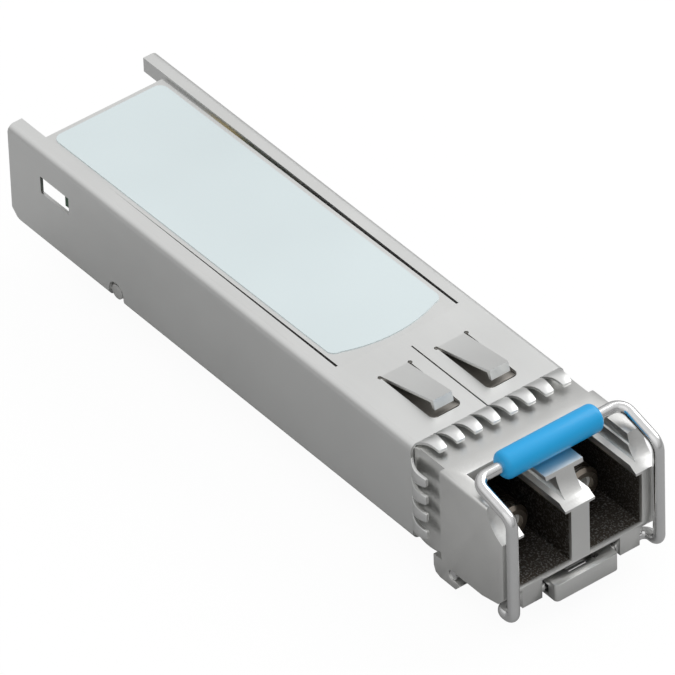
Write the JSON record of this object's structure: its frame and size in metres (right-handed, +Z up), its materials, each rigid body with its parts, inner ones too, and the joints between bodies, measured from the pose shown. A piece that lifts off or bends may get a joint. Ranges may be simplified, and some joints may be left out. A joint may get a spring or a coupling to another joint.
{
  "type": "optical transceiver module",
  "caption": "Small pluggable optical transceiver with a sheet metal can, a cast nose with fibre ports, a bail that works a latch lever and an edge connector.",
  "frame": {"origin": "centre line of the can's underside, at the rear edge of the can", "axes": "+X towards the fibre ports, +Y to the right seen from behind, +Z up out of the labelled side"},
  "size_m": [0.0575, 0.0146, 0.0121],
  "materials": {
    "can_steel": "satin nickel-plated sheet",
    "cast_metal": "satin nickel-plated zinc casting",
    "bright_steel": "polished wire and pin",
    "barrel_metal": "machined stainless steel",
    "header_metal": "gold-plated",
    "gold_contacts": "hard gold plating",
    "label_paper": "blank, slightly blue, satin",
    "blue_plastic": "azure, smooth",
    "board_green": "green solder mask",
    "chip_black": "black moulding compound",
    "ceramic_white": "ground zirconia",
    "ceramic_tan": "small ceramic capacitors",
    "flex_amber": "amber film",
    "pad_grey": "soft thermal pad",
    "gasket_dark": "conductive elastomer",
    "bridge_aluminium": "milled"
  },
  "bodies": {
    "housing": {"outer_can": "can_steel", "label": "label_paper", "nose_housing": "cast_metal", "emi_gasket": "gasket_dark", "transmitter_barrel": "barrel_metal", "receiver_barrel": "barrel_metal", "laser_header": "header_metal", "diode_header": "header_metal", "header_leads": "gold_contacts", "ferrule_sleeves": "ceramic_white", "optics_clamp": "can_steel", "transmitter_flex": "flex_amber", "receiver_flex": "flex_amber", "circuit_board": "board_green", "edge_contacts": "gold_contacts", "board_screws": "bright_steel", "passives": "ceramic_tan", "thermal_pad": "pad_grey", "heat_bridge": "bridge_aluminium", "laser_driver": "chip_black", "receiver_amplifier": "chip_black", "microcontroller": "chip_black", "memory_chip": "chip_black", "power_inductor": "chip_black", "lever_spring": "bright_steel", "lever_pin": "bright_steel"},
    "bail": {"bail_wire": "bright_steel", "bail_sleeve": "blue_plastic"},
    "lever": {"latch_lever": "can_steel"}
  },
  "joints": [
    {"name": "bail_swing", "type": "hinge", "parent": "housing", "child": "bail", "pos_m": [0.0556, 0, -0.00035], "axis": [0, 1, 0], "range_deg": [0, 90]},
    {"name": "latch_rock", "type": "hinge", "parent": "housing", "child": "lever", "pos_m": [0.0508, 0, -0.00033], "axis": [0, 1, 0], "range_deg": [0, 4.1], "deforming": ["lever_spring"]}
  ],
  "couplings": [
    {"joint": "latch_rock", "follows": "bail_swing", "ratio": 0.0452}
  ]
}
